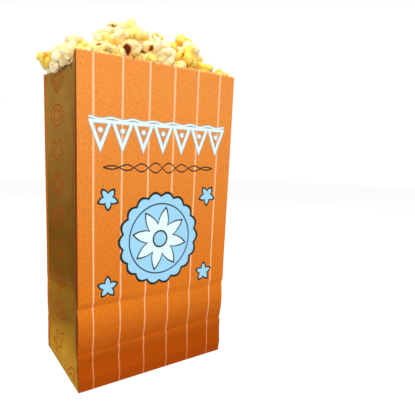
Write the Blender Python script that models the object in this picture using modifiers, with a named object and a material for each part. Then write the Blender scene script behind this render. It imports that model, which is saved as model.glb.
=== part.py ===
"""A paper bag of popcorn: an open gusseted kraft bag, heaped above its rim. Metres, +Z up.

The bag stands on its flat bottom, with the origin at the middle of the bottom. Its printed front panel
faces -Y. The popcorn is one solid: a core that fills the bag, with the kernels that show fused on.
"""
import math
import random

import bmesh
import bpy
from mathutils import Vector

# Bag
WIDTH = 0.130
DEPTH = 0.076
HEIGHT = 0.229
PAPER = 0.0008
GUSSET_DEPTH = 0.0115
FRONT_LEAN = 0.0019
BACK_LEAN = 0.0051

# Cross creases of the bag, from the floor up: height at the front, at the gusset's middle fold and at the
# back, how far the panel stands out there, and how far the gusset is pushed in there
CREASES = (
    (0.020, 0.0207, 0.014, -0.0007, 0.0068),
    (0.030, 0.0310, 0.021, 0.0005, 0.0100),
    (0.046, 0.0460, 0.044, 0.0005, 0.0100),
    (0.061, 0.0620, 0.062, -0.0008, 0.0100),
    (0.068, 0.0690, 0.069, 0.0003, 0.0104),
)
TINY = 0.0001

# Popcorn
GAP = 0.0005
CORE_TOP = 0.214
KERNEL_RADIUS = 0.0082
KERNEL_SPREAD = 0.15
LOBES = 5
LOBE_HOLLOW = 0.72
LOBE_ROUND = 3
LOBES_APART = 0.55
MOUND_MARGIN = 0.002
MOUND_CELLS = (16, 9)
OVERLAP = 0.004
SPACING = 0.73
TRIES = 9000
SEED = 19

# How the heap lies: the level of what carries the kernels along the rim, from the rim up; how steeply it
# falls away outside the foot of each outline kernel; and how far a kernel's middle is above it
CARRIED_LEVEL = -0.0065
SLOPE = 1.25
FOOT = 0.75
OUTLINE_SIT = 0.35
COVER_SIT = 0.18
MOST_RAISE = 0.003

# Kernels that make the heap's outline, in millimetres: x, y, height above the rim, radius
OUTLINE_KERNELS = (
    (-65.8, 23, 9.2, 6.8),
    (-58.5, 20, 11.5, 6.6),
    (-57.0, 11, 9.4, 8.6),
    (-51.0, 3, 14.0, 8.6),
    (-45.5, -29, 4.3, 7.4),
    (-34.5, -14, 18.5, 7.8),
    (-24.0, -9, 25.0, 8.4),
    (-11.0, -4, 31.2, 9.2),
    (5.5, 3, 27.5, 8.4),
    (13.5, -6, 26.5, 6.4),
    (26.0, -10, 22.5, 8.0),
    (38.0, -7, 27.0, 9.0),
    (47.0, -15, 13.0, 8.2),
    (-23.0, -28, 8.2, 9.4),
    (-2.5, -27, 13.0, 8.6),
    (8.0, -29, 7.6, 9.0),
    (26.5, -28, 10.8, 9.2),
    (50.0, -25, 3.0, 6.4),
    (54.5, -33, 0.5, 5.0),
    (54.0, 3, 9.4, 8.4),
    (50.0, 20, 9.0, 8.0),
)


def clear_scene():
    for obj in list(bpy.data.objects):
        bpy.data.objects.remove(obj, do_unlink=True)


def new_collection(name):
    collection = bpy.data.collections.new(name)
    bpy.context.scene.collection.children.link(collection)
    return collection


def add_object(name, bm, collection):
    mesh = bpy.data.meshes.new(name)
    bm.to_mesh(mesh)
    bm.free()
    obj = bpy.data.objects.new(name, mesh)
    collection.objects.link(obj)
    return obj


def material(name, colour, roughness):
    mat = bpy.data.materials.new(name)
    mat.use_nodes = True
    shader = mat.node_tree.nodes["Principled BSDF"]
    shader.inputs["Base Color"].default_value = (*colour, 1)
    shader.inputs["Roughness"].default_value = roughness
    shader.inputs["Metallic"].default_value = 0
    return mat


def apply_modifiers(obj):
    """Gives obj the mesh that its modifiers make, and removes them."""
    graph = bpy.context.evaluated_depsgraph_get()
    made = bpy.data.meshes.new_from_object(obj.evaluated_get(graph))
    obj.modifiers.clear()
    obj.data = made


# Folded bag shape

def fold_levels(top):
    """The rings of the bag: (front height, middle height, back height, stand-out, gusset push)."""
    middle, push = CREASES[-1][1], CREASES[-1][4]
    rings = [(0, 0, 0, 0, 0), *CREASES]
    share = (top - middle) / (HEIGHT - middle)
    rings.append((top, top, top, 0, push + (GUSSET_DEPTH - push) * share))
    return rings


def ring_point(level, side, across, inset):
    """A fold point of one ring. side is -1 left or 1 right; across is -1 front, 0 gusset fold, 1 back."""
    height = level[1 + across]
    lean = BACK_LEAN if across > 0 else FRONT_LEAN
    stand_out = level[3]
    if across == 0:
        slope = math.hypot(level[4], DEPTH / 2) / (DEPTH / 2)
        return Vector((side * (WIDTH / 2 - level[4] - inset * slope), 0, height))
    push = (math.hypot(level[4], DEPTH / 2) + level[4]) / (DEPTH / 2)
    front_or_back = DEPTH / 2 + stand_out - lean * height / HEIGHT * across - inset
    return Vector((side * (WIDTH / 2 - inset * push), across * front_or_back, height))


def folded_box(top, inset, closed):
    """A box with a floor, folded like the bag up to the height top, and smaller by inset all round."""
    bm = bmesh.new()
    levels = fold_levels(top)
    bmesh.ops.create_cube(bm, size=2)
    for step in range(1, len(levels) - 1):
        cut_height = 2 * step / (len(levels) - 1) - 1
        everything = bm.verts[:] + bm.edges[:] + bm.faces[:]
        bmesh.ops.bisect_plane(bm, geom=everything, plane_co=(0, 0, cut_height), plane_no=(0, 0, 1))
    everything = bm.verts[:] + bm.edges[:] + bm.faces[:]
    bmesh.ops.bisect_plane(bm, geom=everything, plane_co=(0, 0, 0), plane_no=(0, 1, 0))
    corners = {}
    for vert in bm.verts:
        ring = round((vert.co.z + 1) / 2 * (len(levels) - 1))
        side = round(vert.co.x)
        across = round(vert.co.y)
        point = ring_point(levels[ring], side, across, inset)
        if ring == 0:
            point.z = inset
        vert.co = point
        corners[ring, side, across] = vert
    # The slanting creases of each gusset run from the bottom corners to the middle fold
    for side in (-1, 1):
        for across in (-1, 1):
            for ring in range(len(levels) - 1):
                ends = [corners[ring, side, across], corners[ring + 1, side, 0]]
                bmesh.ops.connect_verts(bm, verts=ends)
    if not closed:
        lid = [face for face in bm.faces if all(vert.co.z > top - TINY for vert in face.verts)]
        bmesh.ops.delete(bm, geom=lid, context="FACES_ONLY")
    bmesh.ops.recalc_face_normals(bm, faces=bm.faces)
    return bm


def make_bag(collection):
    bag = add_object("paper_bag", folded_box(HEIGHT, 0, closed=False), collection)
    wall = bag.modifiers.new("paper", "SOLIDIFY")
    wall.thickness = PAPER
    wall.offset = -1
    wall.use_even_offset = True
    bag.data.materials.append(material("orange_kraft", (0.83, 0.28, 0.05), 0.75))
    return bag


# Popcorn

def gusset_wall(y):
    """Distance of the rim from the middle plane x = 0 at this y."""
    return WIDTH / 2 - GUSSET_DEPTH * (1 - min(abs(y) / (DEPTH / 2), 1))


def carried_at(x, y, kernels):
    """Height of the solid that carries the kernels, over the point (x, y)."""
    level = HEIGHT + CARRIED_LEVEL
    for centre, radius in kernels:
        beyond_foot = max(math.hypot(x - centre.x, y - centre.y) - FOOT * radius, 0)
        level = max(level, centre.z - OUTLINE_SIT * radius - SLOPE * beyond_foot)
    return level


def clear_of_paper(centre, radius):
    """The nearest place clear of the paper: back from the front and back panels, and up off the gussets."""
    reach = radius + GAP + PAPER
    y = max(centre.y, -DEPTH / 2 - FRONT_LEAN + reach)
    y = min(y, DEPTH / 2 - BACK_LEAN - reach)
    z = centre.z
    if abs(centre.x) > gusset_wall(max(abs(y) - radius, 0)) - reach:
        z = max(z, HEIGHT + GAP + radius)
    return Vector((centre.x, y, z))


def kernel_places():
    """(centre, radius) of every kernel: those of the outline first, and then, tried at random places and
    kept where there is room, those that cover the heap between them."""
    kernels = []
    for x, y, above_rim, size in OUTLINE_KERNELS:
        centre = Vector((x, y, above_rim)) / 1000 + Vector((0, 0, HEIGHT))
        kernels.append((clear_of_paper(centre, size / 1000), size / 1000))
    outline = list(kernels)
    draw = random.Random(SEED)
    for _ in range(TRIES):
        radius = KERNEL_RADIUS * (1 + draw.uniform(-KERNEL_SPREAD, KERNEL_SPREAD))
        x = draw.uniform(-1, 1) * (WIDTH / 2 - radius)
        y = draw.uniform(-1, 1) * DEPTH / 2
        wanted = Vector((x, y, carried_at(x, y, outline) + COVER_SIT * radius))
        centre = clear_of_paper(wanted, radius)
        if centre.z - wanted.z > MOST_RAISE:
            continue
        if all((centre - other).length > SPACING * (radius + size) for other, size in kernels):
            kernels.append((centre, radius))
    return kernels


def make_kernel(centre, radius, seed, collection):
    """One popped kernel of a few sides: round lobes pushed out of a ball."""
    draw = random.Random(seed)
    lobes = []
    while len(lobes) < LOBES:
        lobe = Vector([draw.gauss(0, 1) for _ in range(3)]).normalized()
        if all(lobe.dot(other) < LOBES_APART for other in lobes):
            lobes.append(lobe)
    bm = bmesh.new()
    bmesh.ops.create_icosphere(bm, subdivisions=2, radius=1)
    for vert in bm.verts:
        direction = vert.co.normalized()
        nearest = max(direction.dot(lobe) for lobe in lobes)
        reach = radius * (LOBE_HOLLOW + (1 - LOBE_HOLLOW) * max(nearest, 0) ** LOBE_ROUND)
        vert.co = centre + direction * reach
    return add_object("kernel", bm, collection)


def make_mound(kernels, collection):
    """The inside of the heap above the core: a sheet under the kernels, carried down into the core."""
    bm = bmesh.new()
    bmesh.ops.create_grid(bm, x_segments=MOUND_CELLS[0], y_segments=MOUND_CELLS[1], size=1)
    half_x = WIDTH / 2 - GUSSET_DEPTH - MOUND_MARGIN
    half_y = (DEPTH + FRONT_LEAN - BACK_LEAN) / 2 - MOUND_MARGIN
    for vert in bm.verts:
        x = vert.co.x * half_x
        y = vert.co.y * half_y - (FRONT_LEAN + BACK_LEAN) / 2
        vert.co = Vector((x, y, carried_at(x, y, kernels)))
    made = bmesh.ops.extrude_face_region(bm, geom=bm.faces[:])
    for item in made["geom"]:
        if isinstance(item, bmesh.types.BMVert):
            item.co.z = CORE_TOP - OVERLAP
    bmesh.ops.recalc_face_normals(bm, faces=bm.faces)
    return add_object("mound", bm, collection)


def keep_outer_shell(obj):
    """Drops loose scraps and fills the hollows that joining sealed: only the largest shell stays."""
    bm = bmesh.new()
    bm.from_mesh(obj.data)
    bmesh.ops.triangulate(bm, faces=bm.faces)
    shells = []
    unseen = set(bm.verts)
    while unseen:
        start = unseen.pop()
        shell = {start}
        queue = [start]
        while queue:
            for edge in queue.pop().link_edges:
                for vert in edge.verts:
                    if vert not in shell:
                        shell.add(vert)
                        unseen.discard(vert)
                        queue.append(vert)
        shells.append(shell)
    largest = max(shells, key=len)
    bmesh.ops.delete(bm, geom=[vert for vert in bm.verts if vert not in largest], context="VERTS")
    bm.to_mesh(obj.data)
    bm.free()


def make_popcorn(collection, pieces):
    popcorn = add_object("popcorn", folded_box(CORE_TOP, PAPER + GAP, closed=True), collection)
    kernels = kernel_places()
    make_mound(kernels[:len(OUTLINE_KERNELS)], pieces)
    for seed, (centre, radius) in enumerate(kernels):
        make_kernel(centre, radius, seed, pieces)
    join = popcorn.modifiers.new("join", "BOOLEAN")
    join.operation = "UNION"
    join.operand_type = "COLLECTION"
    join.collection = pieces
    join.solver = "EXACT"
    apply_modifiers(popcorn)
    for piece in list(pieces.objects):
        bpy.data.objects.remove(piece, do_unlink=True)
    keep_outer_shell(popcorn)
    popcorn.data.materials.clear()
    popcorn.data.materials.append(material("buttered_popcorn", (0.93, 0.80, 0.42), 0.7))
    return popcorn


def main():
    clear_scene()
    parts = new_collection("popcorn_bag")
    pieces = new_collection("kernels_to_join")
    pieces.hide_render = True
    make_bag(parts)
    make_popcorn(parts, pieces)


main()
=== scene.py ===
"""Looks of the paper bag of popcorn: a printed kraft bag with pinked rim and cross creases, heaped with
popped kernels. Metres, +Z up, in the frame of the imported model."""
import math
import random

import bmesh
import bpy
import numpy as np
from mathutils import Matrix, Vector
from mathutils.noise import noise as noise_at


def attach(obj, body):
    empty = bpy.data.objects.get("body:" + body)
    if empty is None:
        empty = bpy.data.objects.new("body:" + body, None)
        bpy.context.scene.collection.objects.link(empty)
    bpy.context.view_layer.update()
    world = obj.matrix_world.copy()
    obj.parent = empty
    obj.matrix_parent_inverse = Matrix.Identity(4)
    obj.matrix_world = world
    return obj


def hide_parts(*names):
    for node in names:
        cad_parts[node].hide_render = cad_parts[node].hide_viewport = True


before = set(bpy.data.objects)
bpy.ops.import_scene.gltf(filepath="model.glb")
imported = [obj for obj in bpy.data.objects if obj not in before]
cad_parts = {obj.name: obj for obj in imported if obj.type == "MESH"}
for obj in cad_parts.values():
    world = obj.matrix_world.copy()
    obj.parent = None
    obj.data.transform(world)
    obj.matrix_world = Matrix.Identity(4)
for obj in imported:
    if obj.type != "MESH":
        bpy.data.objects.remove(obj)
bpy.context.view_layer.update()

# Bag, as in its solid
WIDTH = 0.130
DEPTH = 0.076
HEIGHT = 0.229
WALL = 0.0008
GUSSET_DEPTH = 0.0115
FRONT_LEAN = 0.0019
BACK_LEAN = 0.0051
# Half of a gusset, from its edge to its middle fold, along the paper
GUSSET_HALF = math.hypot(DEPTH / 2, GUSSET_DEPTH)

# Paper: its thickness, the teeth of its rim, and the rows of its mesh, finer where it is creased
SHEET = 0.0003
TOOTH_PITCH = 0.0032
TOOTH_DEPTH = 0.0014
ROW = 0.002
FINE_ROW = 0.001
CREASED_HEIGHT = 0.076
# Height, and how far the front and back panels stand out there
PANEL_RELIEF = (
    (0, 0), (0.009, 0.0007), (0.021, -0.0004), (0.028, -0.0003), (0.030, -0.0014), (0.040, 0.0002),
    (0.048, 0.0004), (0.058, -0.0004), (0.061, -0.0009), (0.066, 0.0002), (0.085, 0), (HEIGHT, 0),
)
# A panel's two cross creases: height, how far above and below it the paper moves with it, and its waves'
# length and height
LOW_CREASE, LOW_REACH, LOW_WAVES = 0.0295, 0.014, (0.03, 0.0006)
HIGH_CREASE, HIGH_REACH, HIGH_WAVES = 0.062, 0.016, (0.07, 0.0012)
# The low crease runs this much lower left of its step, which lies between these two places from the left
LOW_STEP = 0.0030
STEP_FROM, STEP_TO = 0.026, 0.038
# The high crease is pressed in towards the left edge: its height, depth, and reach from that edge
PRESS_HEIGHT, PRESS_DEPTH, PRESS_REACH = 0.061, 0.0009, 0.06
# A dent in the panel's lower left: its middle, its reach each way, and its depth
DENT = (0.026, 0.019)
DENT_REACH = (0.022, 0.009)
DENT_DEPTH = 0.0012
# Height, and how far the gusset's middle fold is pushed in there
FOLD_PUSH = (
    (0, 0.0100), (0.031, 0.0114), (0.044, 0.0092), (0.0625, 0.0114), (0.069, 0.0088), (0.10, 0.0096),
    (HEIGHT, GUSSET_DEPTH),
)
TRIANGLE_TOP = 0.031
# A gusset's creases: one level, and one that rises from the edges to the middle fold
GUSSET_CREASE, GUSSET_CREASE_DEPTH = 0.0625, 0.0014
SLANT_FOOT, SLANT_RISE, SLANT_DEPTH = 0.020, 0.013, 0.0012
# Folds sharper than this, in degrees, are shaded as creases
CREASE_ANGLE = 7
# How much of each half of a gusset runs straight back from the edge before it turns in
TURN = 0.09
# The folded bottom: how far the front and back flaps reach in, and how high these and the side flaps lie
FLAP_REACH = 0.022
FLAP_LIFT = 0.0004
SIDE_FLAP_LIFT = 0.0007
# Points of the walls closer than this are one
JOIN = 0.00005

# Popcorn, as in its solid: room between kernels and paper, and the kernels' radius and how much it varies
GAP = 0.0005
KERNEL_RADIUS = 0.0082
KERNEL_SPREAD = 0.15
# Two kernels stand at least this share of their radii apart. So many places are tried, drawn from this seed
SPACING = 0.73
TRIES = 9000
SEED = 19
# What carries the kernels: level with this, against the rim, and higher under each kernel of the outline, from
# where it slopes down and away. The slope starts this share of the kernel's radius out
CARRIED_LEVEL = -0.0065
SLOPE = 1.25
FOOT = 0.75
# How far its carrier lies under the middle of an outline kernel, and how far a covering one sits above it, as
# shares of the radius, and how far one may be raised to clear the paper
OUTLINE_SIT = 0.35
COVER_SIT = 0.18
MOST_RAISE = 0.003

# Kernels that make the heap's outline, in millimetres: x, y, height above the rim, radius; then how
# buttered each one is, from 0 to 1, and its hull: how wide, against the kernel's radius, how dark, and
# which way it faces. Three at the front are up to 1 mm lower than in the solid, and 0.2 mm more in radius
OUTLINE_KERNELS = (
    (-65.8, 23, 9.2, 6.8, 0.90, 0.42, 0.30, (-0.2, -0.9, 0.3)),
    (-58.5, 20, 11.5, 6.6, 0.85, 0.36, 0.25, (-0.5, -0.9, 0.1)),
    (-57.0, 11, 9.4, 8.6, 0.05, 0, 0, None),
    (-51.0, 3, 14.0, 8.6, 0.10, 0, 0, None),
    (-45.5, -29, 4.3, 7.4, 0.35, 0.24, 0.9, (-0.4, -0.7, 0.8)),
    (-34.5, -14, 18.5, 7.8, 0.10, 0, 0, None),
    (-24.0, -9, 25.0, 8.4, 0.25, 0.24, 0.7, (-0.5, -0.9, 0.5)),
    (-11.0, -4, 31.2, 9.2, 0.45, 0, 0, None),
    (5.5, 3, 27.5, 8.4, 0.30, 0, 0, None),
    (13.5, -6, 26.5, 6.4, 0.80, 0.36, 0.4, (-0.4, -0.9, 0.4)),
    (26.0, -10, 22.5, 8.0, 0.75, 0, 0, None),
    (38.0, -7, 27.0, 9.0, 0.65, 0, 0, None),
    (47.0, -15, 13.0, 8.2, 0.45, 0, 0, None),
    (-23.0, -28, 7.6, 9.6, 0.30, 0.28, 0.9, (-0.45, -0.87, -0.22)),
    (-2.5, -27, 12.0, 8.8, 0.15, 0.24, 0.75, (-0.7, -0.8, -0.1)),
    (8.0, -29, 7.6, 9.0, 0.10, 0, 0, None),
    (26.5, -28, 10.4, 9.4, 0.75, 0.22, 0.6, (-0.95, -0.5, 0.1)),
    (50.0, -25, 3.0, 6.4, 0.35, 0, 0, None),
    (54.5, -33, 0.5, 5.0, 0.70, 0, 0, None),
    (54.0, 3, 9.4, 8.4, 0.30, 0, 0, None),
    (50.0, 20, 9.0, 8.0, 0.20, 0, 0, None),
)

# More kernels, hooked over the rim of the left gusset and set between those of the outline: x, y, height
# above the rim, radius, butter
MORE_KERNELS = (
    (-60.5, 14, 3.2, 6.6, 0.05),
    (-57.5, 1, 4.0, 6.4, 0.12),
    (-62.5, 27, 4.6, 6.0, 0.20),
    (-47.2, 0, 18.4, 4.2, 0.15),
    (-57.0, 6, 14.6, 4.4, 0.10),
    (-26.0, -33.5, 16.0, 4.4, 1.00),
    (-19.5, -33.0, 16.8, 3.6, 1.00),
    (60.6, -34.6, 1.0, 3.6, 0.80),
)
# Kernels in a row behind the front rim: how many, room left beside them, level at the left and right end
RIM_ROW = 11
RIM_ROOM = 0.006
RIM_LEVEL = (0.0015, -0.0020)
# Kernels pressed between those that show: how far apart, their level on what carries them, and their radius
FILL_PITCH = 0.0105
FILL_LEVEL = -0.0025
FILL_RADIUS = (0.0062, 0.0078)

# Popped shape: a core ball and 5 to 8 lobes with small bumps, as shares of the kernel's radius
KERNEL_SWELL = 1.04
LOBES = (5, 8)
BUMPS = (1, 3)
CORE_BALL = 0.56
LOBE_RADIUS = (0.36, 0.60)
BUMP_RADIUS = (0.36, 0.6)
# How much flatter a ball is pressed, and how near a hull's direction no lobe points, as a cosine
FLATTEN = 0.28
HULL_CLEAR = 0.80
# Cells of a kernel's mesh, in metres: of one that shows, and of one pressed between them
VOXEL = 0.0007
FILL_VOXEL = 0.0011
# Its skin's rolling swells and finer wrinkles: their size and depth, in metres
SWELL_SIZE = 0.0034
SWELL_DEPTH = 0.0006
WRINKLE_SIZE = 0.0013
WRINKLE_DEPTH = 0.0003
# How deep a hull is sunk, against its width, and how ragged its edge is
HULL_SINK = 0.55
HULL_RAGGED = 0.9
# How far from the fold between two lobes a kernel counts as creased, and from its neighbours as close; both
# get amber, where kernels touch as painted shade and in folds partly as their own colour and partly as painted
# shade
CREASE_REACH = 0.16
CLOSE_REACH = 0.0028
# The core's cells, how far it lies under what carries the kernels, its room beside the paper, and its foot
CORE_CELLS = (60, 34)
CORE_DROP = 0.006
CORE_ROOM = 0.002
CORE_FLOOR = 0.002
# What a popcorn mesh holds for each point, and these values on the core, which paint it amber as painted deep
# shade
ATTRIBUTES = ("butter", "crease", "hull", "close")
CORE_SHADED_LOOK = (0.9, 0.55, 0.0, 1.0)
# A kernel less buttered than this belongs to the pale piece, or to the part buttered one
PALE_BELOW = 0.28
PART_BELOW = 0.6

# Popcorn colours: bare, buttered, and golden in folds and where kernels touch, that golden being painted shade
# and in folds partly their own colour too; and a hull's edge and middle
PALE_POPCORN = ((0.93, 0.81, 0.56), (0.93, 0.74, 0.22), (0.93, 0.60, 0.13))
BUTTERED_POPCORN = ((0.94, 0.79, 0.36), (0.93, 0.70, 0.11), (0.91, 0.47, 0.05))
HULL_EDGE = (0.62, 0.22, 0.02)
HULL_DARK = (0.19, 0.03, 0.006)

# Where each panel starts on the unrolled sheet, across: one every PANEL_PITCH
PANEL_PITCH = 0.2
FRONT_AT, RIGHT_AT, BACK_AT, LEFT_AT, FLOOR_AT = 0.0, 0.2, 0.4, 0.6, 0.8
# Half of how soft an edge of the print is
SOFT = 0.00025

# Print, in metres on a panel from its left bottom corner
STRIPE_FIRST = 0.0112
STRIPE_PITCH = 0.0209
# A stripe is this wide at the foot and at the rim
STRIPE_WIDTH = (0.0009, 0.0015)
# How far the orange wraps onto a gusset: at its back edge, at its front edge, and there by the rim
WRAP = 0.0048
WRAP_FRONT = 0.010
WRAP_RIM = 0.0012
# Pennants on a cord, with a dot in each
PENNANTS = 7
PENNANT_PITCH = 0.0163
PENNANT_TOP = 0.1868
PENNANT_DEPTH = 0.0165
PENNANT_HALF = 0.0070
PENNANT_LINE, PENNANT_EDGE = 0.0021, 0.0031
DOT_HEIGHT = 0.1815
DOT_RADIUS, DOT_EDGE = 0.0016, 0.0021
CORD_HEIGHT = 0.1888
CORD_SAG = 0.0006
CORD_LINE, CORD_EDGE = 0.0011, 0.0020
# The plaited line
PLAIT_HEIGHT = 0.1575
PLAIT_HALF = 0.047
PLAIT_WAVE = 0.0235
PLAIT_SWELL = (0.0008, 0.0030)
PLAIT_LINE = 0.0010
# The rosette and its star, and the small stars beside and above or below it
ROSETTE = (0.065, 0.1055)
ROSETTE_RADIUS, ROSETTE_SCALLOP, SCALLOPS = 0.0345, 0.0026, 18
RING_RADIUS = 0.0262
STAR_RADIUS, STAR_INNER, STAR_POINTS = 0.0235, 0.0115, 8
HEART_RADIUS = 0.0060
ROSETTE_LINE, RING_LINE, STAR_LINE, HEART_LINE = 0.0019, 0.0010, 0.0015, 0.0013
SMALL_STAR_AT = (0.0430, 0.0310)
SMALL_RADIUS, SMALL_INNER, SMALL_POINTS = 0.0078, 0.0038, 5
SMALL_LINE = 0.0014
# The turn of a star, in points of it, and what makes the distance to its slanting edge a true one
STAR_TURN = 0.25
EDGE_SLOPE = 0.8
# Motifs down a gusset
MOTIF_PITCH = 0.0262
MOTIF_LINE = 0.0010
MOTIF_STAR = (0.0088, 0.0042)
MOTIF_RINGS = (0.0078, 0.0040)
LOZENGE_RADIUS, LOZENGE_STEP, LOZENGE_LINE = 0.0062, 0.0028, 0.0009
LOZENGE_TALL, LOZENGE_SLOPE = 0.8, 0.78
# How much of the kraft the rust ink covers
RUST_SHARE = 0.9

# Inks, some of them darker or lighter by height as painted shade and light
# The orange darkens from the top to the middle and to the foot as painted shade
ORANGE_TOP = (0.76, 0.262, 0.052)
ORANGE_MIDDLE_SHADED = (0.66, 0.172, 0.013)
ORANGE_FOOT_SHADED = (0.40, 0.066, 0.002)
STRIPE_PALE = (1.0, 0.60, 0.36)
# The stripes are darker at the foot as painted shade
STRIPE_FOOT_SHADED = (0.66, 0.26, 0.10)
GOLD_TOP = (0.335, 0.172, 0.035)
# The gold is darker in the middle height as painted shade, and lighter below the high crease and at the foot
# as painted light
GOLD_MIDDLE_SHADED = (0.166, 0.070, 0.006)
GOLD_LIT_BELOW_CREASE = (0.26, 0.122, 0.011)
GOLD_FOOT_LIT = (0.46, 0.230, 0.020)
# The orange wrapping onto the gussets, darkened as painted shade, most on their front halves
SHADED_WRAP_INK = (0.46, 0.122, 0.007)
SHADED_FRONT_WRAP_INK = (0.20, 0.043, 0.001)
RUST = (0.34, 0.045, 0.004)
DARK = (0.018, 0.024, 0.022)
PALE = (0.72, 0.90, 0.93)
SKY = (0.33, 0.64, 0.89)
SLATE = (0.30, 0.36, 0.38)
# Bare paper: on the teeth, on the floor, inside, and on the cut edges, each of these last two as a pair
TOOTH_KRAFT = (0.95, 0.72, 0.48)
FLOOR_KRAFT = (0.50, 0.31, 0.14)
INSIDE_KRAFT = ((0.55, 0.36, 0.17), (0.66, 0.46, 0.24))
CUT_KRAFT = ((0.85, 0.66, 0.42), (0.97, 0.84, 0.62))
# Sizes of the paper's fibres, grain, crumples and blotches
FIBRE_SIZE = 0.0009
GRAIN_SIZE = 0.0019
CRUMPLE_SIZE = 0.012
BLOTCH_SIZE = 0.02

# Room: the floor's reach, its grey and the white light of its own that the camera sees, and the world
FLOOR_REACH = 4
FLOOR_DROP = 0.0003
FLOOR_GREY = 0.5
FLOOR_GLOW = 1.25
GLOW_SHARE = 0.72
WORLD_COLOUR = (1, 0.95, 0.86)
WORLD_STRENGTH = 0.44
# Lights: name, place, what it faces, width, power
LIGHTS = (
    ("key", (-0.02, -0.88, 1.18), (0, 0, 0.13), 0.45, 10.2),
    ("top", (-0.35, -0.05, 1.45), (0, 0, 0.13), 0.4, 6.8),
    ("fill", (-0.80, -0.95, 0.28), (0, 0, 0.15), 0.7, 5.4),
    ("back", (0.75, 1.0, 0.8), (0, 0, 0.15), 0.6, 7.0),
    ("side", (-0.95, -0.10, 0.10), (-0.05, 0, 0.23), 0.5, 1.3),
)

# Camera, fitted to the photograph: place, turn, and the optical axis in its 415 pixel frame
PHOTO_SIZE = 415
FOCAL_PIXELS = 346.41
AXIS_U = 129.0
AXIS_V = 220.6
CAMERA_PLACE = (-0.14261, -0.24973, 0.15677)
CAMERA_YAW = 0.5026
CAMERA_PITCH = 0.1486
CAMERA_ROLL = -0.0119
SENSOR = 36


def link(obj):
    bpy.context.scene.collection.objects.link(obj)
    return obj


# Material nodes

class Field:
    """A number over a surface, in a material's nodes. Arithmetic on it adds the nodes that work it out."""

    def __init__(self, tree, socket):
        self.tree = tree
        self.socket = socket

    def math(self, operation, *others):
        node = self.tree.nodes.new("ShaderNodeMath")
        node.operation = operation
        for value, place in zip((self, *others), node.inputs):
            feed(self.tree, value, place)
        return Field(self.tree, node.outputs[0])

    def __add__(self, other):
        return self.math("ADD", other)

    def __sub__(self, other):
        return self.math("SUBTRACT", other)

    def __mul__(self, other):
        return self.math("MULTIPLY", other)

    def __truediv__(self, other):
        return self.math("DIVIDE", other)

    def __abs__(self):
        return self.math("ABSOLUTE")

    def __neg__(self):
        return self.math("MULTIPLY", -1.0)

    def most(self, other):
        return self.math("MAXIMUM", other)

    def sine(self):
        return self.math("SINE")

    def floor(self):
        return self.math("FLOOR")

    def part(self):
        """What is left after the whole number, from 0 to 1."""
        return self.math("FRACT")

    def ramp(self, start, end):
        """0 at start and 1 at end, and clamped outside them."""
        node = self.tree.nodes.new("ShaderNodeMapRange")
        feed(self.tree, self, node.inputs["Value"])
        node.inputs["From Min"].default_value = start
        node.inputs["From Max"].default_value = end
        return Field(self.tree, node.outputs["Result"])


def feed(tree, value, place):
    """Links a Field to an input, or sets the input to a plain value."""
    if isinstance(value, Field):
        tree.links.new(value.socket, place)
    else:
        place.default_value = value


def new_material(name, **settings):
    """A Principled material. settings are values of the shader's own sockets."""
    mat = bpy.data.materials.new(name)
    mat.use_nodes = True
    shader = mat.node_tree.nodes["Principled BSDF"]
    for socket, value in settings.items():
        shader.inputs[socket.replace("_", " ")].default_value = value
    return mat, mat.node_tree, shader


def sheet_position(tree):
    """The place on the unrolled paper, in metres: across and up."""
    source = tree.nodes.new("ShaderNodeUVMap")
    source.uv_map = "sheet"
    split = tree.nodes.new("ShaderNodeSeparateXYZ")
    tree.links.new(source.outputs["UV"], split.inputs[0])
    return Field(tree, split.outputs["X"]), Field(tree, split.outputs["Y"]), source.outputs["UV"]


def noise(tree, coordinates, size, detail=2.0, roughness=0.5):
    """A noise from 0 to 1 whose features are about size metres across."""
    node = tree.nodes.new("ShaderNodeTexNoise")
    tree.links.new(coordinates, node.inputs["Vector"])
    node.inputs["Scale"].default_value = 1 / size
    node.inputs["Detail"].default_value = detail
    node.inputs["Roughness"].default_value = roughness
    return Field(tree, node.outputs["Fac"])


def blend_colour(tree, share, first, second):
    """first where share is 0 and second where it is 1. Each is a colour or a colour socket."""
    node = tree.nodes.new("ShaderNodeMix")
    node.data_type = "RGBA"
    feed(tree, share, node.inputs["Factor"])
    colours = [place for place in node.inputs if place.type == "RGBA"]
    for colour, place in zip((first, second), colours):
        if isinstance(colour, bpy.types.NodeSocket):
            tree.links.new(colour, place)
        else:
            place.default_value = (*colour, 1)
    return next(place for place in node.outputs if place.type == "RGBA")


def scaled_colour(tree, colour, factor):
    node = tree.nodes.new("ShaderNodeVectorMath")
    node.operation = "SCALE"
    tree.links.new(colour, node.inputs[0])
    feed(tree, factor, node.inputs["Scale"])
    return node.outputs["Vector"]


def bump(tree, shader, height, distance, strength):
    node = tree.nodes.new("ShaderNodeBump")
    node.inputs["Strength"].default_value = strength
    node.inputs["Distance"].default_value = distance
    tree.links.new(height.socket, node.inputs["Height"])
    tree.links.new(node.outputs["Normal"], shader.inputs["Normal"])


def attribute(tree, name):
    node = tree.nodes.new("ShaderNodeAttribute")
    node.attribute_name = name
    return Field(tree, node.outputs["Fac"])


# Shapes of the print: each is a distance in metres, negative inside

def filled(distance):
    return distance.ramp(SOFT, -SOFT)


def outline(distance, width):
    return (abs(distance) - width / 2).ramp(SOFT, -SOFT)


def length(a, b):
    return (a * a + b * b).math("SQRT")


def scalloped(x, z, radius, depth, count):
    """A disc whose edge swells and sinks count times."""
    wave = (z.math("ARCTAN2", x) * (count / 2)).math("COSINE")
    return length(x, z) - (abs(wave) * depth + (radius - depth))


def star(x, z, radius, inner, points):
    """A star: its edge runs straight out and back between the inner and the outer radius."""
    angle = z.math("ARCTAN2", x) * (points / (2 * math.pi)) + STAR_TURN
    wave = abs(angle.part() - 0.5) * 2
    return (length(x, z) - (wave * (radius - inner) + inner)) * EDGE_SLOPE


# Bag of printed kraft paper

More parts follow.
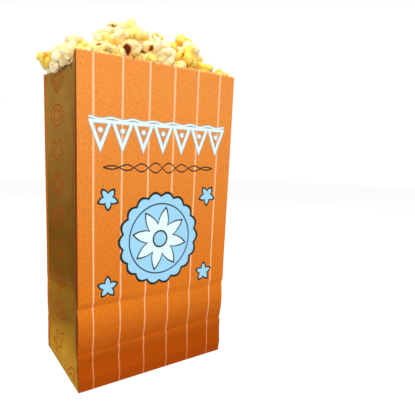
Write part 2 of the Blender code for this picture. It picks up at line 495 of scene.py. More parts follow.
def wavy(x, z, seed, size, height):
    """A gentle unevenness: a few crossed waves with drawn directions."""
    draw = random.Random(seed)
    total = np.zeros_like(x + z)
    for _ in range(6):
        turn = draw.uniform(0, math.pi)
        reach = size * draw.uniform(0.6, 1.6)
        phase = draw.uniform(0, 2 * math.pi)
        along = x * math.cos(turn) + z * math.sin(turn)
        total += np.sin(along * 2 * math.pi / reach + phase)
    return total / 6 * height


def valley(above, depth, reach_up, reach_down):
    """A crease that is deepest where above is 0."""
    side = np.where(above > 0, above / reach_up, -above / reach_down)
    return -depth * np.clip(1 - side, 0, 1)


def panel_relief(x, z, seed):
    """How far a front or back panel stands out of its plane. x is from the panel's left edge."""
    heights, outs = np.array(PANEL_RELIEF).T
    step = np.clip((x - STEP_FROM) / (STEP_TO - STEP_FROM), 0, 1)
    low_fold = wavy(x, x * 0, seed, *LOW_WAVES) - LOW_STEP * (1 - step ** 2 * (3 - 2 * step))
    high_fold = wavy(x, x * 0, seed + 3, *HIGH_WAVES)
    near_low = np.clip(1 - np.abs(z - LOW_CREASE) / LOW_REACH, 0, 1)
    near_high = np.clip(1 - np.abs(z - HIGH_CREASE) / HIGH_REACH, 0, 1)
    out = np.interp(z - low_fold * near_low - high_fold * near_high, heights, outs)
    from_left = np.clip(1 - x / PRESS_REACH, 0, 1)
    out = out + valley(z - PRESS_HEIGHT - high_fold, PRESS_DEPTH * from_left, 0.003, 0.006)
    dent = ((x - DENT[0]) / DENT_REACH[0]) ** 2 + ((z - DENT[1]) / DENT_REACH[1]) ** 2
    out = out - DENT_DEPTH * np.exp(-dent)
    out = out + wavy(x, z, seed + 1, 0.10, 0.00022) + wavy(x, z, seed + 2, 0.03, 0.00006)
    return out * np.clip(z / 0.006, 0, 1)


def panel_y(x, z, side):
    """y of the front (side -1) or back (side 1) panel."""
    lean = BACK_LEAN if side > 0 else FRONT_LEAN
    relief = panel_relief(x * -side + WIDTH / 2, z, 3 if side > 0 else 7)
    return side * (DEPTH / 2 + relief - lean * z / HEIGHT * side)


def gusset_push(share, z, side):
    """How far a gusset is pushed in. share is -1 at its front edge, 0 at its fold and 1 at its back edge."""
    heights, pushes = np.array(FOLD_PUSH).T
    fold = np.interp(z, heights, pushes)
    slope = fold * np.clip((1 - np.abs(share)) * (1 + TURN) - TURN, 0, 1)
    push = np.minimum(slope, fold * z / TRIANGLE_TOP)
    slant = SLANT_FOOT + SLANT_RISE * (1 - np.abs(share))
    crease = valley(z - GUSSET_CREASE, GUSSET_CREASE_DEPTH, 0.0025, 0.011)
    crease = crease + valley(z - slant, SLANT_DEPTH, 0.009, 0.005)
    uneven = wavy(share * DEPTH / 2, z, 11 + side, 0.06, 0.0005)
    fade = np.clip(z / 0.01, 0, 1) * np.clip((1 - share ** 2) * 3, 0, 1)
    return push - (crease + uneven) * fade


def row_heights():
    low = np.arange(0, CREASED_HEIGHT, FINE_ROW)
    high = np.arange(CREASED_HEIGHT, HEIGHT - 2 * TOOTH_DEPTH, ROW)
    return np.concatenate([low, high, [HEIGHT - 1.5 * TOOTH_DEPTH, HEIGHT]])


def section(count, place, sheet_start, sheet_width):
    """One upright stretch of the bag's wall, count half teeth wide. place(share, z) gives x and y for share
    from 0 to 1."""
    rows = row_heights()
    share, z = np.meshgrid(np.linspace(0, 1, count + 1), rows)
    x, y = place(share, z)
    z[-1, 1::2] -= TOOTH_DEPTH
    points = np.stack([x, y, z], -1).reshape(-1, 3)
    sheet = np.stack([sheet_start + share * sheet_width, z], -1).reshape(-1, 2)
    return points, grid_faces(len(rows), count + 1), sheet


def grid_faces(rows, columns):
    corner = np.arange(rows * columns).reshape(rows, columns)
    return np.stack([corner[:-1, :-1], corner[:-1, 1:], corner[1:, 1:], corner[1:, :-1]], -1).reshape(-1, 4)


def half_teeth(width):
    """How many half teeth of the rim fit on this width: an even number."""
    return 2 * round(width / TOOTH_PITCH)


def wall_sections():
    def panel(side):
        def place(share, z):
            x = (share - 0.5) * WIDTH * -side
            return x, panel_y(x, z, side)
        return section(half_teeth(WIDTH), place, BACK_AT if side > 0 else FRONT_AT, WIDTH)

    def gusset(side, start, end, sheet_start):
        """Half of a gusset, between two places across it: -1 its front edge, 0 its fold, 1 its back edge."""
        def place(share, z):
            across = start + (end - start) * share
            edge = np.full_like(z, side * WIDTH / 2)
            y = np.where(across < 0, -across * panel_y(edge, z, -1), across * panel_y(edge, z, 1))
            return side * (WIDTH / 2 - gusset_push(across, z, side)), y
        return section(half_teeth(GUSSET_HALF), place, sheet_start, GUSSET_HALF)

    return (
        panel(-1),
        gusset(1, -1, 0, RIGHT_AT),
        gusset(1, 0, 1, RIGHT_AT + GUSSET_HALF),
        panel(1),
        gusset(-1, 1, 0, LEFT_AT),
        gusset(-1, 0, -1, LEFT_AT + GUSSET_HALF),
    )


def floor_section():
    """The bag's floor, with the glued flaps of its folded bottom a paper's thickness apart."""
    wide = half_teeth(WIDTH)
    deep = 2 * half_teeth(GUSSET_HALF)
    share_x, share_y = np.meshgrid(np.linspace(-1, 1, wide + 1), np.linspace(-1, 1, deep + 1))
    x = share_x * WIDTH / 2
    y = share_y * DEPTH / 2
    on_side_flap = (WIDTH / 2 - np.abs(x) < DEPTH / 2 - np.abs(y)) & (np.abs(share_x) < 0.995)
    z = np.where(np.abs(y) < DEPTH / 2 - FLAP_REACH, 0.0, FLAP_LIFT)
    z = np.where(on_side_flap, SIDE_FLAP_LIFT, z)
    z = np.where((np.abs(share_x) > 0.99) | (np.abs(share_y) > 0.99), 0.0, z)
    points = np.stack([x, y, z], -1).reshape(-1, 3)
    sheet = np.stack([FLOOR_AT + x + WIDTH / 2, y + DEPTH / 2], -1).reshape(-1, 2)
    return points, grid_faces(deep + 1, wide + 1)[:, ::-1], sheet


def joined_mesh(name, sections):
    """One mesh of several grids, with their places on the sheet as its UV map."""
    points = np.concatenate([part[0] for part in sections])
    counts = np.cumsum([0] + [len(part[0]) for part in sections])
    faces = np.concatenate([part[1] + start for part, start in zip(sections, counts)])
    sheet = np.concatenate([part[2] for part in sections])
    mesh = bpy.data.meshes.new(name)
    mesh.from_pydata(points.tolist(), [], faces.tolist())
    uv = mesh.uv_layers.new(name="sheet")
    uv.data.foreach_set("uv", sheet[faces.ravel()].astype(np.float32).ravel())
    return mesh


def on_panel(across, start):
    """1 on the panel that starts there on the sheet, and 0 on the others."""
    return filled(abs(across - (start + WIDTH / 2)) - PANEL_PITCH / 2)


def orange_ink_and_shade(tree, up, mottle):
    """Orange ink, darker towards the foot as painted shade, with a fine mottle where the kraft shows through.
    """
    orange = blend_colour(tree, up.ramp(0.21, 0.07), ORANGE_TOP, ORANGE_MIDDLE_SHADED)
    orange = blend_colour(tree, up.ramp(0.058, 0.020), orange, ORANGE_FOOT_SHADED)
    return scaled_colour(tree, orange, mottle)


def pinstripes(across, up):
    """Where the pale stripes of a panel are."""
    foot, rim = STRIPE_WIDTH
    half_width = (up.ramp(0, HEIGHT) * (rim - foot) + foot) / 2
    nearest = ((across - STRIPE_FIRST) / STRIPE_PITCH + 0.5).part() - 0.5
    return filled(abs(nearest) * STRIPE_PITCH - half_width)


def golden_kraft_lit_and_shaded(tree, across, up, mottle):
    """The gussets' kraft, with thin rust outlines: darker in the middle height than by the rim as painted
    shade, and lighter below the crease and at the foot as painted light.
    """
    gold = blend_colour(tree, up.ramp(0.10, 0.22), GOLD_MIDDLE_SHADED, GOLD_TOP)
    gold = blend_colour(tree, up.ramp(0.072, 0.060), gold, GOLD_LIT_BELOW_CREASE)
    gold = blend_colour(tree, up.ramp(0.034, 0.010), gold, GOLD_FOOT_LIT)
    gold = scaled_colour(tree, gold, mottle)
    return blend_colour(tree, gusset_print(across, up), gold, RUST)


def between_wraps(from_front, up):
    """Where a gusset is bare of the orange that wraps onto it from the front and back panels."""
    front_wrap = up.ramp(HEIGHT, 0.120) * up.ramp(0.004, 0.050) * (WRAP_FRONT - WRAP_RIM) + WRAP_RIM
    return filled(front_wrap - from_front) * filled(from_front - (2 * GUSSET_HALF - WRAP))


def paper_material():
    mat, tree, shader = new_material("printed_paper", Specular_IOR_Level=0.015)
    across, up, place = sheet_position(tree)
    fine = noise(tree, place, FIBRE_SIZE, 3.0, 0.8)
    grain = noise(tree, place, GRAIN_SIZE, 2.0, 0.6)
    blotch = noise(tree, place, BLOTCH_SIZE)
    crumple = noise(tree, place, CRUMPLE_SIZE, 4.0, 0.55)
    mottle = fine.ramp(0.3, 0.7) * 0.32 + grain.ramp(0.3, 0.7) * 0.20 + 0.74

    # Front and back: orange with pale pinstripes, and the ornament of the front
    on_front = on_panel(across, FRONT_AT)
    on_back = on_panel(across, BACK_AT)
    stripes = pinstripes(across - on_back * BACK_AT, up) * (on_front + on_back)
    # Stripe ink, darker towards the foot as painted shade
    stripe_ink_and_shade = blend_colour(tree, up.ramp(0.07, 0.01), STRIPE_PALE, STRIPE_FOOT_SHADED)
    colour = blend_colour(tree, stripes * fine.ramp(0.15, 0.6), orange_ink_and_shade(tree, up, mottle), stripe_ink_and_shade)
    for mask, ink in front_print(across, up):
        colour = blend_colour(tree, mask * on_front, colour, ink)

    # Gussets: golden kraft with painted light and shade, and the orange wrapping a little way onto them,
    # darkened as painted shade
    on_right = on_panel(across, RIGHT_AT)
    on_left = on_panel(across, LEFT_AT)
    on_gusset = on_right + on_left
    local = across - RIGHT_AT - on_left * (LEFT_AT - RIGHT_AT)
    from_front = on_right * local - on_left * (local - 2 * GUSSET_HALF)
    gold = golden_kraft_lit_and_shaded(tree, local, up, mottle * (blotch.ramp(0.3, 0.7) * 0.24 + 0.9))
    wrap_ink_shaded = blend_colour(tree, filled(from_front - GUSSET_HALF), SHADED_WRAP_INK, SHADED_FRONT_WRAP_INK)
    colour = blend_colour(tree, on_gusset, colour, wrap_ink_shaded)
    colour = blend_colour(tree, on_gusset * between_wraps(from_front, up), colour, gold)

    # Bare kraft on the tips of the teeth and on the floor
    colour = blend_colour(tree, up.ramp(HEIGHT - 0.0008, HEIGHT - 0.0004), colour, TOOTH_KRAFT)
    colour = blend_colour(tree, on_panel(across, FLOOR_AT), colour, FLOOR_KRAFT)
    tree.links.new(colour, shader.inputs["Base Color"])
    rough = fine.ramp(0.2, 0.8) * 0.2 + 0.5
    tree.links.new(rough.socket, shader.inputs["Roughness"])
    bump(tree, shader, crumple * 0.6 + fine * 0.10, 0.0006, 0.55)
    return mat


def front_print(x, z):
    """The ornament of the front panel: (mask, ink) of each layer, in the order in which they are printed."""
    # A row of pennants on a cord
    row_half = PENNANTS * PENNANT_PITCH / 2
    in_row = filled(abs(x - WIDTH / 2) - row_half)
    step = (x - (WIDTH / 2 - row_half)) / PENNANT_PITCH
    beside = abs(step.part() - 0.5) * PENNANT_PITCH
    down = -(z - PENNANT_TOP)
    slant = (beside - (-(down / PENNANT_DEPTH) + 1.0) * PENNANT_HALF) * 0.9
    pennant = slant.most(-down)
    dot = length(beside, z - DOT_HEIGHT)
    sag = ((step.part() - 0.5) * math.pi * 2).math("COSINE") * CORD_SAG
    cord = z - CORD_HEIGHT + sag

    # A thin plaited line below it
    along = x - WIDTH / 2
    swell = (-(abs(along) / PLAIT_HALF) + 1.0).most(0.0) * PLAIT_SWELL[1] + PLAIT_SWELL[0]
    wave = (along * (2 * math.pi / PLAIT_WAVE)).sine() * swell
    strand = outline(z - PLAIT_HEIGHT + wave, PLAIT_LINE)
    other_strand = outline(z - PLAIT_HEIGHT - wave, PLAIT_LINE)

    # A scalloped rosette with a star, and four small stars about it
    across = x - ROSETTE[0]
    up = z - ROSETTE[1]
    disc = scalloped(across, up, ROSETTE_RADIUS, ROSETTE_SCALLOP, SCALLOPS)
    from_middle = length(across, up)
    heart = from_middle - HEART_RADIUS
    large = star(across, up, STAR_RADIUS, STAR_INNER, STAR_POINTS)
    aside = abs(across) - SMALL_STAR_AT[0]
    above = abs(up) - SMALL_STAR_AT[1]
    small = star(aside, above, SMALL_RADIUS, SMALL_INNER, SMALL_POINTS)
    return (
        (outline(pennant, PENNANT_EDGE) * in_row, SLATE),
        (filled(dot - DOT_EDGE) * in_row, SLATE),
        (outline(cord, CORD_EDGE) * in_row, SLATE),
        (outline(pennant, PENNANT_LINE).most(filled(dot - DOT_RADIUS)) * in_row, PALE),
        (outline(cord, CORD_LINE) * in_row, PALE),
        (strand.most(other_strand) * filled(abs(along) - PLAIT_HALF), DARK),
        (filled(disc), SKY),
        (outline(disc, ROSETTE_LINE), DARK),
        (outline(from_middle - RING_RADIUS, RING_LINE), DARK),
        (filled(large), PALE),
        (outline(large, STAR_LINE), DARK),
        (filled(heart), SKY),
        (outline(heart, HEART_LINE), DARK),
        (filled(small), SKY),
        (outline(small, SMALL_LINE), DARK),
    )


def gusset_print(across, up):
    """Thin outlines spaced down a gusset: a star, a double ring and a lozenge by turns."""
    column = (across / GUSSET_HALF).floor()
    step = up / MOTIF_PITCH + column * 0.5
    turn = step.floor() + column
    kind = turn - (turn / 3).floor() * 3
    x = across - (column + 0.5) * GUSSET_HALF
    z = (step.part() - 0.5) * MOTIF_PITCH
    from_middle = length(x, z)
    large, small = (outline(from_middle - radius, MOTIF_LINE) for radius in MOTIF_RINGS)
    lozenge = (abs(x) + abs(z) * LOZENGE_TALL) * LOZENGE_SLOPE - LOZENGE_RADIUS
    motifs = (
        outline(star(x, z, *MOTIF_STAR, SMALL_POINTS), MOTIF_LINE),
        large.most(small),
        outline(lozenge, MOTIF_LINE).most(outline(lozenge + LOZENGE_STEP, LOZENGE_LINE)),
    )
    shown = [motif * (abs(kind - index) - 0.5).ramp(0.1, -0.1) for index, motif in enumerate(motifs)]
    return (shown[0] + shown[1] + shown[2]) * RUST_SHARE


def kraft_material(name, colour, pale):
    """Bare kraft, inside the bag and on its cut rim."""
    mat, tree, shader = new_material(name, Roughness=0.8, Specular_IOR_Level=0.2)
    where = tree.nodes.new("ShaderNodeTexCoord")
    fibre = noise(tree, where.outputs["Object"], 0.0011, 4.0, 0.7)
    tone = blend_colour(tree, fibre.ramp(0.3, 0.7), colour, pale)
    tree.links.new(tone, shader.inputs["Base Color"])
    bump(tree, shader, fibre, 0.0002, 0.5)
    return mat


def make_bag():
    mesh = joined_mesh("bag_paper", [*wall_sections(), floor_section()])
    bm = bmesh.new()
    bm.from_mesh(mesh)
    bmesh.ops.remove_doubles(bm, verts=bm.verts, dist=JOIN)
    bm.to_mesh(mesh)
    bm.free()
    bag = link(bpy.data.objects.new("bag_paper", mesh))
    for mat in (
        paper_material(),
        kraft_material("kraft_inside", *INSIDE_KRAFT),
        kraft_material("kraft_cut", *CUT_KRAFT),
    ):
        mesh.materials.append(mat)
    wall = bag.modifiers.new("paper", "SOLIDIFY")
    wall.thickness = SHEET
    wall.offset = -1
    wall.use_even_offset = True
    wall.material_offset = 1
    wall.material_offset_rim = 2
    mesh.shade_smooth()
    mesh.set_sharp_from_angle(angle=math.radians(CREASE_ANGLE))
    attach(bag, "root")
    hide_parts("paper_bag")


# Popcorn

def gusset_wall(y):
    """Distance of the rim from the middle plane x = 0 at this y."""
    return WIDTH / 2 - GUSSET_DEPTH * (1 - min(abs(y) / (DEPTH / 2), 1))


def carried_at(x, y, kernels):
    """Height of what carries the kernels, over the point (x, y)."""
    level = HEIGHT + CARRIED_LEVEL
    for centre, radius in kernels:
        beyond_foot = max(math.hypot(x - centre.x, y - centre.y) - FOOT * radius, 0)
        level = max(level, centre.z - OUTLINE_SIT * radius - SLOPE * beyond_foot)
    return level


def clear_of_paper(centre, radius):
    """The nearest place clear of the paper: back from the front and back panels, and up off the gussets."""
    reach = radius + GAP + WALL
    y = max(centre.y, -DEPTH / 2 - FRONT_LEAN + reach)
    y = min(y, DEPTH / 2 - BACK_LEAN - reach)
    z = centre.z
    if abs(centre.x) > gusset_wall(max(abs(y) - radius, 0)) - reach:
        z = max(z, HEIGHT + GAP + radius)
    return Vector((centre.x, y, z))


def kernel_places():
    """(centre, radius) of every kernel: those of the outline first, and then, tried at random places and
    kept where there is room, those that cover the heap between them."""
    kernels = []
    for x, y, above_rim, size, *_ in OUTLINE_KERNELS:
        centre = Vector((x, y, above_rim)) / 1000 + Vector((0, 0, HEIGHT))
        kernels.append((clear_of_paper(centre, size / 1000), size / 1000))
    outline_kernels = list(kernels)
    draw = random.Random(SEED)
    for _ in range(TRIES):
        radius = KERNEL_RADIUS * (1 + draw.uniform(-KERNEL_SPREAD, KERNEL_SPREAD))
        x = draw.uniform(-1, 1) * (WIDTH / 2 - radius)
        y = draw.uniform(-1, 1) * DEPTH / 2
        wanted = Vector((x, y, carried_at(x, y, outline_kernels) + COVER_SIT * radius))
        centre = clear_of_paper(wanted, radius)
        if centre.z - wanted.z > MOST_RAISE:
            continue
        if all((centre - other).length > SPACING * (radius + size) for other, size in kernels):
            kernels.append((centre, radius))
    return kernels


def ball(subdivisions):
    bm = bmesh.new()
    bmesh.ops.create_icosphere(bm, subdivisions=subdivisions, radius=1)
    points = np.array([vert.co for vert in bm.verts])
    faces = np.array([[vert.index for vert in face.verts] for face in bm.faces])
    bm.free()
    return points, faces


LOBE_BALL = ball(3)
BUMP_BALL = ball(2)


def drawn_direction(draw):
    return np.array(Vector([draw.gauss(0, 1) for _ in range(3)]).normalized())


def lobes_of(draw, lobes, hull):
    """A popped kernel of radius 1 as balls: (centre, radius, squash, whether it is a small bump). squash is
    a direction in which the ball is pressed flatter."""
    directions = []
    least_apart = 0.35
    while len(directions) < lobes:
        way = drawn_direction(draw)
        if hull is not None and way @ hull > HULL_CLEAR:
            continue
        if all(way @ other < least_apart for other in directions):
            directions.append(way)
        else:
            least_apart = min(least_apart + 0.01, 0.9)
    balls = [(np.zeros(3), CORE_BALL, drawn_direction(draw), False)]
    for way in directions:
        radius = draw.uniform(*LOBE_RADIUS)
        middle = way * (1 - radius) * draw.uniform(0.86, 1)
        squash = np.cross(way, drawn_direction(draw))
        squash /= np.linalg.norm(squash)
        balls.append((middle, radius, squash, False))
        for _ in range(draw.randint(*BUMPS)):
            out = way * 0.8 + drawn_direction(draw)
            out /= np.linalg.norm(out)
            small = radius * draw.uniform(*BUMP_RADIUS)
            balls.append((middle + out * (radius - small * 0.55), small, drawn_direction(draw), True))
    return balls


def mesh_of_balls(balls, voxel):
    """The outer skin of the joined balls, as points and faces."""
    points = []
    faces = []
    start = 0
    for middle, radius, squash, small in balls:
        unit, sides = BUMP_BALL if small else LOBE_BALL
        pressed = unit - (unit @ squash)[:, None] * squash * FLATTEN
        points.append(pressed * radius + middle)
        faces.append(sides + start)
        start += len(unit)
    mesh = bpy.data.meshes.new("balls")
    mesh.from_pydata(np.concatenate(points).tolist(), [], np.concatenate(faces).tolist())
    obj = link(bpy.data.objects.new("balls", mesh))
    skin = obj.modifiers.new("skin", "REMESH")
    skin.mode = "VOXEL"
    skin.voxel_size = voxel
    soften = obj.modifiers.new("soften", "SMOOTH")
    soften.factor = 0.5
    soften.iterations = 3
    evaluated = obj.evaluated_get(bpy.context.evaluated_depsgraph_get())
    made = evaluated.to_mesh()
    found = np.empty(len(made.vertices) * 3, np.float32)
    made.vertices.foreach_get("co", found)
    quads = np.array([tuple(face.vertices) for face in made.polygons])
    evaluated.to_mesh_clear()
    bpy.data.objects.remove(obj, do_unlink=True)
    bpy.data.meshes.remove(mesh)
    return found.reshape(-1, 3).astype(float), quads


def wrinkled(points, seed):
    """Unevenness of popped skin at each point: rolling swells and finer wrinkles, in metres."""
    shift = Vector((seed * 0.37, seed * 0.11, -seed * 0.23))
    found = np.empty(len(points))
    for index, point in enumerate(points.tolist()):
        place = Vector(point)
        found[index] = (SWELL_DEPTH * noise_at(place / SWELL_SIZE + shift)
                        + WRINKLE_DEPTH * noise_at(place / WRINKLE_SIZE + shift))
    return found[:, None]


def popped_kernel(centre, radius, seed, butter, hull=(0, 0, None), voxel=VOXEL):
    """One popped kernel: points, faces, and for each point its butter, raised deep in the kernel as yellow
    painted shade, its crease and hull. hull is how far the hull reaches, against the kernel's radius, how dark
    it is, and the way it faces or None."""
    draw = random.Random(seed)
    hull_size, hull_tone, hull_way = hull
    way = None if hull_way is None else np.array(Vector(hull_way).normalized())
    balls = lobes_of(draw, draw.randint(*LOBES), way)
    points, faces = mesh_of_balls(balls, voxel / radius)
    outward = points / np.linalg.norm(points, axis=1)[:, None]
    points = points + wrinkled(points * radius, seed) / radius * outward
    lobes = [(middle, size) for middle, size, squash, small in balls if not small]
    gaps = np.array([np.linalg.norm(points - middle, axis=1) - size for middle, size in lobes])
    gaps.sort(axis=0)
    crease = np.clip(1 - (gaps[1] - gaps[0]) / CREASE_REACH, 0, 1)
    # Towards a kernel's middle, deep in its hollows, its butter is raised: yellow painted shade
    hollow_shade = np.clip(1.15 - np.linalg.norm(points, axis=1), 0, 1)
    patch = wavy(points[:, 0] + points[:, 2] * 0.6, points[:, 1], seed, 1.3, 1.0)
    tint = np.clip(butter * (0.65 + 0.8 * patch) + 0.9 * hollow_shade * (0.3 + butter), 0, 1)
    skin = np.zeros(len(points))
    if way is not None:
        along = points @ way
        aside = points - along[:, None] * way
        ragged = wavy(points[:, 0], points[:, 1] + points[:, 2], seed + 5, 0.5, HULL_RAGGED)
        flat = 1 + 0.35 * np.sin(np.arctan2(aside[:, 0], aside[:, 2]) + seed)
        near = np.clip(1 - np.linalg.norm(aside, axis=1) * flat / hull_size + ragged, 0, 1) * (along > 0)
        points = points - way * (HULL_SINK * hull_size * near ** 2 * (3 - 2 * near))[:, None]
        skin = np.clip(near * 2.2, 0, 1) * hull_tone
    return points * radius + np.array(centre), faces, tint, crease, skin


def popcorn_material(name, cream, yellow, amber_tint_and_shade):
    """Popped kernels: cream to yellow by how buttered they are, amber in their folds, partly as their own
    colour and partly as painted shade, and amber as painted shade where they touch, and brown where a hull is
    left."""
    mat, tree, shader = new_material(
        name, Specular_IOR_Level=0.2, Subsurface_Weight=0.7, Subsurface_Scale=0.004,
        Subsurface_Radius=(1.0, 0.88, 0.62))
    where = tree.nodes.new("ShaderNodeTexCoord").outputs["Object"]
    foam = noise(tree, where, 0.0007, 3.0, 0.6)
    cloud = noise(tree, where, 0.006, 2.0)
    butter, crease, hull, close = (attribute(tree, held) for held in ATTRIBUTES)
    colour = blend_colour(tree, (butter * (cloud + 0.55)).ramp(0.12, 0.85), cream, yellow)
    # Amber in folds: partly their own colour, partly painted shade
    fold_tint_and_shade = crease * crease * (butter * 0.55 + 0.25)
    # Amber where kernels touch: painted shade
    shade_between_kernels = close * (butter * 0.6 + 0.30)
    colour = blend_colour(tree, fold_tint_and_shade.most(shade_between_kernels), colour, amber_tint_and_shade)
    colour = blend_colour(tree, hull.ramp(0.0, 0.35) * 0.8, colour, HULL_EDGE)
    colour = blend_colour(tree, hull.ramp(0.3, 0.9), colour, HULL_DARK)
    tree.links.new(colour, shader.inputs["Base Color"])
    rough = -(hull * 0.3) + 0.62
    tree.links.new(rough.socket, shader.inputs["Roughness"])
    bump(tree, shader, foam, 0.0005, 0.6)
    return mat


def closeness(points, own, places):
    """How near each point of a kernel is to its neighbours: 1 against or inside one, 0 well clear of them.
    Where it is high, amber painted shade goes.
    """
    centre, radius = places[own]
    found = np.zeros(len(points))
    for index, (other, size) in enumerate(places):
        if index == own or (other - centre).length > radius + size + CLOSE_REACH:
            continue
        gap = np.linalg.norm(points - np.array(other), axis=1) - size * 0.9
        found = np.maximum(found, np.clip(1 - gap / CLOSE_REACH, 0, 1))
    return found


def popcorn_piece(name, mesh, values, material):
    """A piece of the heap. values has a row for each of ATTRIBUTES, with a number for each point."""
    for held, row in zip(ATTRIBUTES, values):
        layer = mesh.attributes.new(held, "FLOAT", "POINT")
        layer.data.foreach_set("value", row.astype(np.float32))
    mesh.shade_smooth()
    mesh.materials.append(material)
    piece = link(bpy.data.objects.new(name, mesh))
    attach(piece, "root")
    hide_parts("popcorn")


def scattered(name, kernels, material):
    """Kernels joined into one piece."""
    points, faces, *values = zip(*kernels)
    starts = np.cumsum([0] + [len(part) for part in points])
    faces = np.concatenate([part + start for part, start in zip(faces, starts)])
    mesh = bpy.data.meshes.new(name)
    mesh.from_pydata(np.concatenate(points).tolist(), [], faces.tolist())
    popcorn_piece(name, mesh, [np.concatenate(column) for column in values], material)


def make_core(carriers, material):
    """What carries the kernels: popcorn pressed together, from the bag's floor up to the heap's inside."""
    cells_x, cells_y = CORE_CELLS
    share_x, share_y = np.meshgrid(np.linspace(-1, 1, cells_x + 1), np.linspace(-1, 1, cells_y + 1))
    lean = (FRONT_LEAN + BACK_LEAN) / 2
    x = share_x * (WIDTH / 2 - GUSSET_DEPTH - CORE_ROOM)
    y = share_y * ((DEPTH + FRONT_LEAN - BACK_LEAN) / 2 - CORE_ROOM) - lean
    z = np.array([carried_at(a, b, carriers) for a, b in zip(x.ravel(), y.ravel())]).reshape(x.shape)
    z = z - CORE_DROP + wavy(x, y, 41, 0.011, 0.0022) + wavy(x, y, 42, 0.005, 0.0008)
    bm = bmesh.new()
    grid = [bm.verts.new(point) for point in np.stack([x, y, z], -1).reshape(-1, 3)]
    for quad in grid_faces(cells_y + 1, cells_x + 1):
        bm.faces.new([grid[index] for index in quad])
    made = bmesh.ops.extrude_face_region(bm, geom=bm.faces[:])
    for item in made["geom"]:
        if isinstance(item, bmesh.types.BMVert):
            item.co.z = CORE_FLOOR
            item.co.y = item.co.y + lean
    bmesh.ops.recalc_face_normals(bm, faces=bm.faces)
    mesh = bpy.data.meshes.new("popcorn_core")
    bm.to_mesh(mesh)
    bm.free()
    # The core's values paint it amber, as painted deep shade
    popcorn_piece("popcorn_core", mesh, [np.full(len(mesh.vertices), value) for value in CORE_SHADED_LOOK], material)


def more_places(kernels):
    """Kernels that the solid's few don't hold: over the gusset's rim, in a row behind the front rim, and
    between the others. (centre, radius, voxel, butter or None) of each."""
    draw = random.Random(8)
    more = []
    for x, y, above_rim, size, butter in MORE_KERNELS:
        more.append((Vector((x / 1000, y / 1000, HEIGHT + above_rim / 1000)), size / 1000, VOXEL, butter))
    front = -DEPTH / 2 - FRONT_LEAN + WALL + GAP
    for place in range(RIM_ROW):
        radius = draw.uniform(*FILL_RADIUS)
        share = (place + 0.5) / RIM_ROW
        x = (share - 0.5) * (WIDTH - RIM_ROOM)
        level = RIM_LEVEL[0] + (RIM_LEVEL[1] - RIM_LEVEL[0]) * share + draw.uniform(-0.001, 0.001)
        more.append((Vector((x, front + radius, HEIGHT + level - radius * 0.5)), radius, VOXEL, None))
    columns = int((WIDTH - 2 * GUSSET_DEPTH) / FILL_PITCH)
    rows = int(DEPTH / FILL_PITCH)
    for column in range(columns + 1):
        for row in range(rows):
            radius = draw.uniform(*FILL_RADIUS)
            x = (column - columns / 2 + draw.uniform(-0.3, 0.3)) * FILL_PITCH
            y = front + radius + (row + 0.3 + draw.uniform(-0.25, 0.25)) * FILL_PITCH
            y = min(y, DEPTH / 2 - BACK_LEAN - WALL - GAP - radius)
            z = carried_at(x, y, kernels[:len(OUTLINE_KERNELS)]) + FILL_LEVEL + draw.uniform(-0.001, 0.0012)
            more.append((Vector((x, y, z)), radius, FILL_VOXEL, None))
    return more


def kind_of(butter):
    """The piece that holds the kernels this buttered."""
    if butter < PALE_BELOW:
        return "popcorn_pale"
    return "popcorn_part_buttered" if butter < PART_BELOW else "popcorn_buttered"


def make_popcorn():
    pale = popcorn_material("popped_pale", *PALE_POPCORN)
    buttered = popcorn_material("popped_buttered", *BUTTERED_POPCORN)
    places = kernel_places()
    more = more_places(places)
    every_place = places + [(centre, radius) for centre, radius, *_ in more]
    draw = random.Random(5)
    groups = {"popcorn_pale": [], "popcorn_part_buttered": [], "popcorn_buttered": [], "popcorn_between": []}
    for seed, (centre, radius) in enumerate(places):
        if seed < len(OUTLINE_KERNELS):
            butter, *hull = OUTLINE_KERNELS[seed][4:]
        else:
            butter = draw.random() ** 1.3
            way = drawn_direction(draw) + np.array([0.3, 0.2, 0.8]) if draw.random() < 0.4 else None
            hull = (draw.uniform(0.18, 0.30), draw.uniform(0.3, 0.9), way)
        kernel = popped_kernel(centre, radius * KERNEL_SWELL, seed, butter, hull)
        groups[kind_of(butter)].append((*kernel, closeness(kernel[0], seed, every_place)))
    for seed, (centre, radius, voxel, butter) in enumerate(more):
        if butter is None:
            butter = draw.random() ** 1.2
        kernel = popped_kernel(centre, radius, 500 + seed, butter, voxel=voxel)
        groups["popcorn_between"].append((*kernel, closeness(kernel[0], len(places) + seed, every_place)))
    for name, kernels in groups.items():
        scattered(name, kernels, buttered if name == "popcorn_buttered" else pale)
    make_core(places[:len(OUTLINE_KERNELS)], buttered)


# Room

def make_floor():
    """A pale floor. What the camera sees of it is mostly white light of its own, with a soft shadow left."""
    bm = bmesh.new()
    bmesh.ops.create_grid(bm, x_segments=1, y_segments=1, size=FLOOR_REACH)
    mesh = bpy.data.meshes.new("floor")
    bm.to_mesh(mesh)
    bm.free()
    floor = link(bpy.data.objects.new("floor", mesh))
    floor.location.z = -FLOOR_DROP
    mat, tree, shader = new_material("pale_floor", Roughness=0.9)
    shader.inputs["Base Color"].default_value = (FLOOR_GREY, FLOOR_GREY, FLOOR_GREY, 1)
    white = tree.nodes.new("ShaderNodeEmission")
    path = tree.nodes.new("ShaderNodeLightPath")
    share = tree.nodes.new("ShaderNodeMath")
    share.operation = "MULTIPLY"
    share.inputs[1].default_value = GLOW_SHARE
    mix = tree.nodes.new("ShaderNodeMixShader")
    tree.links.new(path.outputs["Is Camera Ray"], share.inputs[0])
    tree.links.new(share.outputs[0], mix.inputs[0])
    tree.links.new(shader.outputs[0], mix.inputs[1])
    tree.links.new(white.outputs[0], mix.inputs[2])
    tree.links.new(mix.outputs[0], tree.nodes["Material Output"].inputs["Surface"])
    white.inputs["Strength"].default_value = FLOOR_GLOW
    mesh.materials.append(mat)


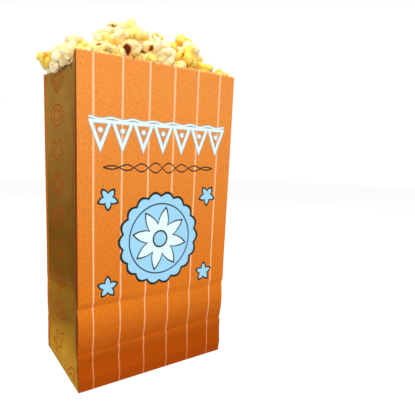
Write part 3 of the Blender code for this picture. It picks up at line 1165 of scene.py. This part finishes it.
def make_light(name, place, target, size, power):
    data = bpy.data.lights.new(name, "AREA")
    data.shape = "DISK"
    data.size = size
    data.energy = power
    light = link(bpy.data.objects.new(name, data))
    light.location = place
    light.rotation_euler = (Vector(target) - Vector(place)).to_track_quat("-Z", "Y").to_euler()


def make_world():
    world = bpy.data.worlds.new("studio")
    world.use_nodes = True
    nodes, links = world.node_tree.nodes, world.node_tree.links
    seen = nodes.new("ShaderNodeBackground")
    seen.inputs["Strength"].default_value = 1.0
    seen.inputs["Color"].default_value = (1, 1, 1, 1)
    lit = nodes["Background"]
    lit.inputs["Color"].default_value = (*WORLD_COLOUR, 1)
    lit.inputs["Strength"].default_value = WORLD_STRENGTH
    mix = nodes.new("ShaderNodeMixShader")
    path = nodes.new("ShaderNodeLightPath")
    links.new(path.outputs["Is Camera Ray"], mix.inputs[0])
    links.new(lit.outputs[0], mix.inputs[1])
    links.new(seen.outputs[0], mix.inputs[2])
    links.new(mix.outputs[0], nodes["World Output"].inputs["Surface"])
    bpy.context.scene.world = world


def make_camera():
    data = bpy.data.cameras.new("camera")
    data.sensor_width = SENSOR
    data.lens = FOCAL_PIXELS / PHOTO_SIZE * SENSOR
    data.shift_x = (PHOTO_SIZE / 2 - AXIS_U) / PHOTO_SIZE
    data.shift_y = (AXIS_V - PHOTO_SIZE / 2) / PHOTO_SIZE
    data.clip_start = 0.01
    data.clip_end = 20
    camera = link(bpy.data.objects.new("camera", data))
    forward = Vector((
        math.sin(CAMERA_YAW) * math.cos(CAMERA_PITCH),
        math.cos(CAMERA_YAW) * math.cos(CAMERA_PITCH),
        -math.sin(CAMERA_PITCH)))
    level = Vector((math.cos(CAMERA_YAW), -math.sin(CAMERA_YAW), 0))
    below = forward.cross(level)
    right = level * math.cos(CAMERA_ROLL) + below * math.sin(CAMERA_ROLL)
    down = below * math.cos(CAMERA_ROLL) - level * math.sin(CAMERA_ROLL)
    turn = Matrix((right, -down, -forward)).transposed()
    camera.matrix_world = Matrix.Translation(CAMERA_PLACE) @ turn.to_4x4()
    bpy.context.scene.camera = camera


make_camera()
make_world()
for light in LIGHTS:
    make_light(*light)
make_floor()
make_bag()
make_popcorn()
bpy.context.scene.view_settings.view_transform = "Standard"
